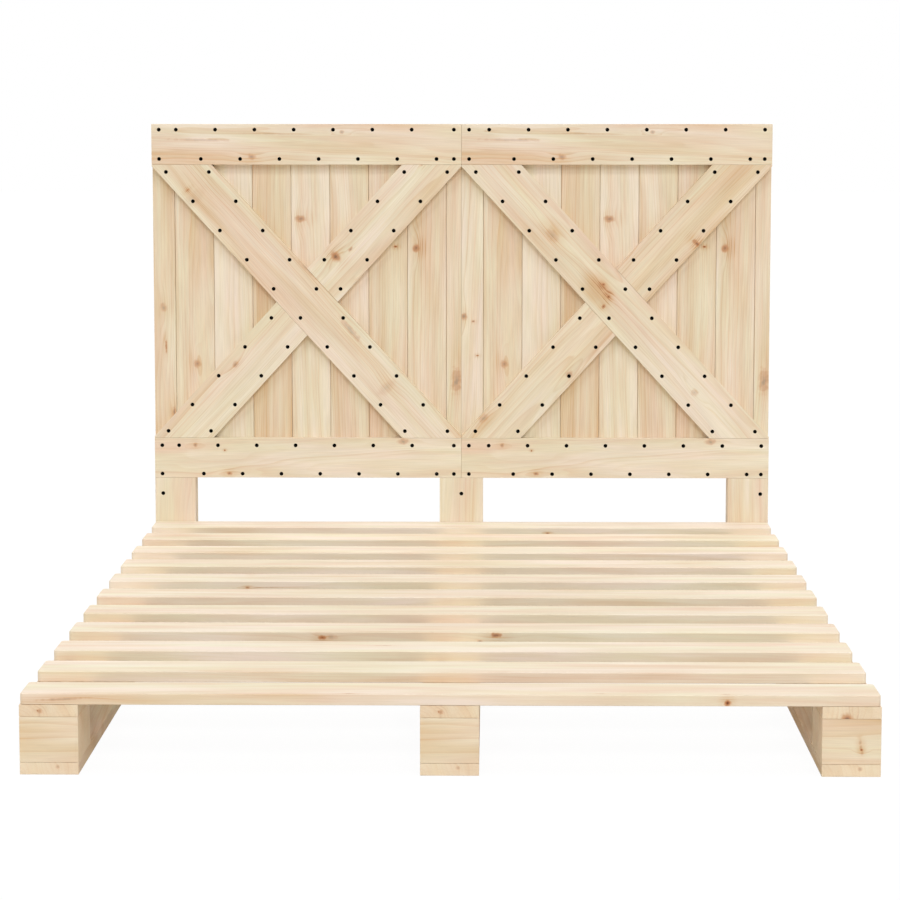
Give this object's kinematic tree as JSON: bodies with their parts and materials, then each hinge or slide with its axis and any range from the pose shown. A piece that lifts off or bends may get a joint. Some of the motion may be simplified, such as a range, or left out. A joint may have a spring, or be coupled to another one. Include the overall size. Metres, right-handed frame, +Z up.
{
  "type": "bed frame with headboard",
  "caption": "Pallet-style bed frame in bare pine: cross slats on three block runners, and a plank headboard with rails, crossed braces and legs.",
  "frame": {"origin": "on the floor, under the middle of the whole bed's outer box", "axes": "+Y along the bed from the foot end to the headboard, +X to the right as seen from the foot end, +Z up"},
  "size_m": [1.4, 2.057, 1.0379],
  "materials": {
    "slat_pine": "planed pine, bare, matt",
    "runner_board_pine": "planed pine, bare, matt",
    "runner_block_pine": "planed pine, bare, matt",
    "headboard_plank_pine": "planed pine, bare, matt",
    "headboard_rail_pine": "planed pine, bare, matt",
    "headboard_brace_pine": "planed pine, bare, matt",
    "headboard_leg_pine": "planed pine, bare, matt",
    "headboard_post_pine": "planed pine, bare, matt",
    "screw_black": "black phosphate and oil on steel"
  },
  "bodies": {
    "root": {"slat_01": "slat_pine", "slat_02": "slat_pine", "slat_03": "slat_pine", "slat_04": "slat_pine", "slat_05": "slat_pine", "slat_06": "slat_pine", "slat_07": "slat_pine", "slat_08": "slat_pine", "slat_09": "slat_pine", "slat_10": "slat_pine", "slat_11": "slat_pine", "runner_left_top_board": "runner_board_pine", "runner_left_bottom_board": "runner_board_pine", "runner_left_block_foot": "runner_block_pine", "runner_left_block_middle": "runner_block_pine", "runner_left_block_head": "runner_block_pine", "runner_middle_top_board": "runner_board_pine", "runner_middle_bottom_board": "runner_board_pine", "runner_middle_block_foot": "runner_block_pine", "runner_middle_block_middle": "runner_block_pine", "runner_middle_block_head": "runner_block_pine", "runner_right_top_board": "runner_board_pine", "runner_right_bottom_board": "runner_board_pine", "runner_right_block_foot": "runner_block_pine", "runner_right_block_middle": "runner_block_pine", "runner_right_block_head": "runner_block_pine", "headboard_left_plank_1": "headboard_plank_pine", "headboard_left_plank_2": "headboard_plank_pine", "headboard_left_plank_3": "headboard_plank_pine", "headboard_left_plank_4": "headboard_plank_pine", "headboard_left_plank_5": "headboard_plank_pine", "headboard_left_plank_6": "headboard_plank_pine", "headboard_left_plank_7": "headboard_plank_pine", "headboard_left_plank_8": "headboard_plank_pine", "headboard_left_plank_9": "headboard_plank_pine", "headboard_left_rail_top": "headboard_rail_pine", "headboard_left_rail_bottom": "headboard_rail_pine", "headboard_left_brace_long": "headboard_brace_pine", "headboard_left_brace_upper": "headboard_brace_pine", "headboard_left_brace_lower": "headboard_brace_pine", "headboard_right_plank_1": "headboard_plank_pine", "headboard_right_plank_2": "headboard_plank_pine", "headboard_right_plank_3": "headboard_plank_pine", "headboard_right_plank_4": "headboard_plank_pine", "headboard_right_plank_5": "headboard_plank_pine", "headboard_right_plank_6": "headboard_plank_pine", "headboard_right_plank_7": "headboard_plank_pine", "headboard_right_plank_8": "headboard_plank_pine", "headboard_right_plank_9": "headboard_plank_pine", "headboard_right_rail_top": "headboard_rail_pine", "headboard_right_rail_bottom": "headboard_rail_pine", "headboard_right_brace_long": "headboard_brace_pine", "headboard_right_brace_upper": "headboard_brace_pine", "headboard_right_brace_lower": "headboard_brace_pine", "headboard_leg_left": "headboard_leg_pine", "headboard_post_left": "headboard_post_pine", "headboard_leg_middle": "headboard_leg_pine", "headboard_post_middle": "headboard_post_pine", "headboard_leg_right": "headboard_leg_pine", "headboard_post_right": "headboard_post_pine"}
  },
  "joints": []
}
